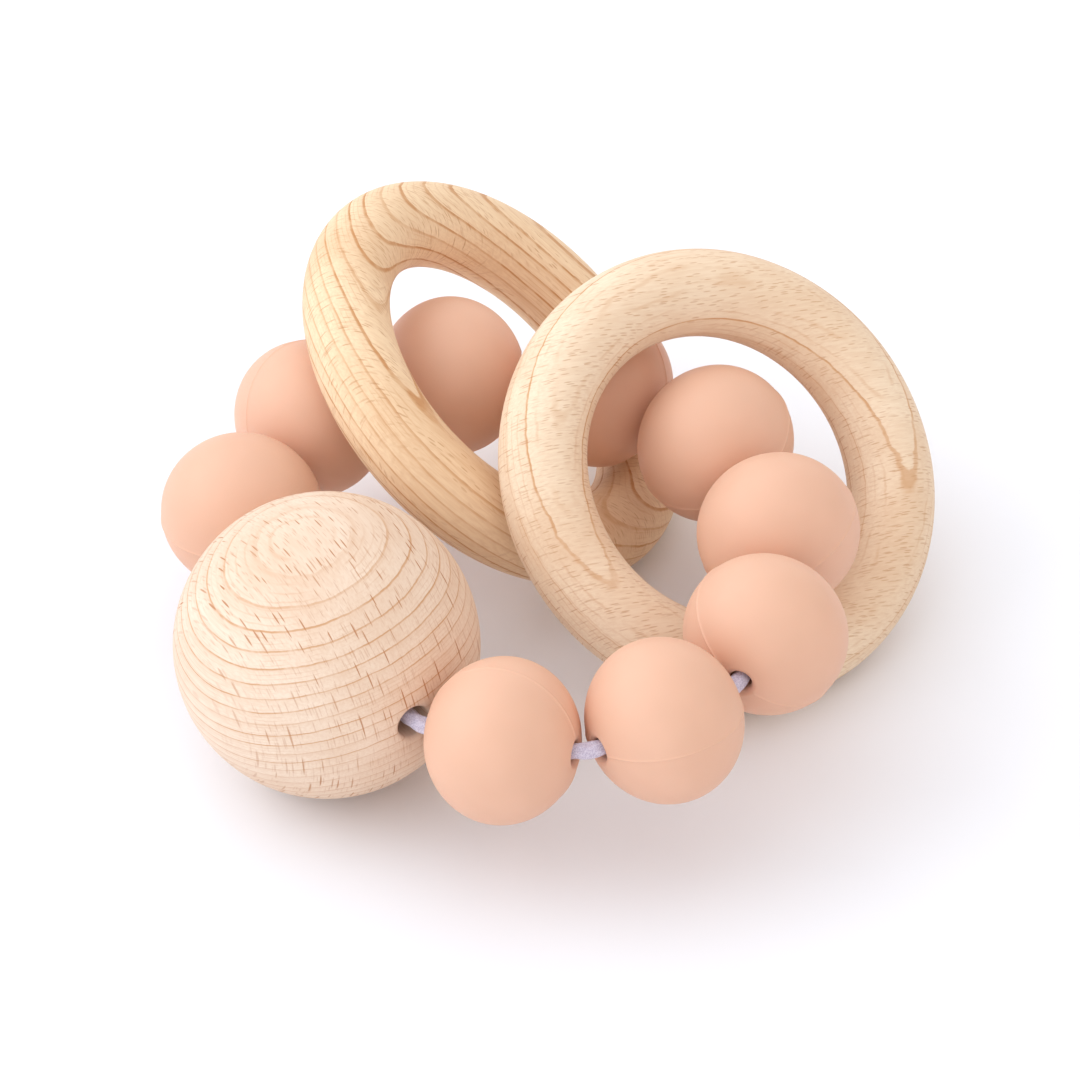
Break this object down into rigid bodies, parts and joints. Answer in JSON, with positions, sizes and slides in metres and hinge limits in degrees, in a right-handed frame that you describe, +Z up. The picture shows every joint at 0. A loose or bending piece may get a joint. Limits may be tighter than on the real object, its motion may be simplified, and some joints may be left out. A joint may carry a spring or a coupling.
{
  "type": "baby rattle",
  "caption": "Grasping rattle: round silicone beads and a large turned wooden ball strung in a closed loop, with wooden rings that ride loose on it.",
  "frame": {"origin": "middle of the footprint, on the floor the rattle lies on", "axes": "+X along the loop's line of symmetry from the large ball to the bead opposite it, +Y towards beads 6 to 9, +Z up"},
  "size_m": [0.0976, 0.0958, 0.0397],
  "materials": {
    "beech": "bare, finely sanded beech",
    "silicone": "matte terracotta silicone",
    "cord": "smooth braided cord"
  },
  "bodies": {
    "string": {"wood_ball": "beech", "cord": "cord"},
    "bead_1_body": {"bead_1": "silicone"},
    "bead_2_body": {"bead_2": "silicone"},
    "bead_3_body": {"bead_3": "silicone"},
    "bead_4_body": {"bead_4": "silicone"},
    "bead_5_body": {"bead_5": "silicone"},
    "bead_6_body": {"bead_6": "silicone"},
    "bead_7_body": {"bead_7": "silicone"},
    "bead_8_body": {"bead_8": "silicone"},
    "bead_9_body": {"bead_9": "silicone"},
    "ring_under_body": {"ring_under": "beech"},
    "ring_over_body": {"ring_over": "beech"}
  },
  "joints": [
    {"name": "bead_1_spin", "type": "hinge", "parent": "string", "child": "bead_1_body", "pos_m": [-0.02553, -0.02948, 0.01866], "axis": [0.5854, -0.8086, 0.0592], "continuous": true},
    {"name": "bead_2_spin", "type": "hinge", "parent": "string", "child": "bead_2_body", "pos_m": [-0.00978, -0.03841, 0.01985], "axis": [0.9944, -0.0871, 0.0601], "continuous": true},
    {"name": "bead_3_spin", "type": "hinge", "parent": "string", "child": "bead_3_body", "pos_m": [0.00774, -0.03412, 0.02072], "axis": [0.843, 0.537, 0.0317], "continuous": true},
    {"name": "bead_4_spin", "type": "hinge", "parent": "string", "child": "bead_4_body", "pos_m": [0.01984, -0.0208, 0.021], "axis": [0.4548, 0.8906, -0.0018], "continuous": true},
    {"name": "bead_5_spin", "type": "hinge", "parent": "string", "child": "bead_5_body", "pos_m": [0.02406, -0.00333, 0.0207], "axis": [0.0018, 0.9995, -0.0313], "continuous": true},
    {"name": "bead_6_spin", "type": "hinge", "parent": "string", "child": "bead_6_body", "pos_m": [0.01991, 0.01414, 0.01991], "axis": [-0.4516, 0.8906, -0.054], "continuous": true},
    {"name": "bead_7_spin", "type": "hinge", "parent": "string", "child": "bead_7_body", "pos_m": [0.00785, 0.02746, 0.01879], "axis": [-0.841, 0.537, -0.0654], "continuous": true},
    {"name": "bead_8_spin", "type": "hinge", "parent": "string", "child": "bead_8_body", "pos_m": [-0.00965, 0.03175, 0.01765], "axis": [-0.9947, -0.0871, -0.0546], "continuous": true},
    {"name": "bead_9_spin", "type": "hinge", "parent": "string", "child": "bead_9_body", "pos_m": [-0.02543, 0.02282, 0.01702], "axis": [-0.5883, -0.8086, -0.0085], "continuous": true},
    {"name": "ring_under_spin", "type": "hinge", "parent": "string", "child": "ring_under_body", "pos_m": [0.01105, 0.02297, 0.01938], "axis": [0.4354, -0.4637, 0.7716], "continuous": true},
    {"name": "ring_over_spin", "type": "hinge", "parent": "string", "child": "ring_over_body", "pos_m": [0.02135, -0.00753, 0.01986], "axis": [-0.0034, -0.6574, 0.7536], "continuous": true}
  ]
}
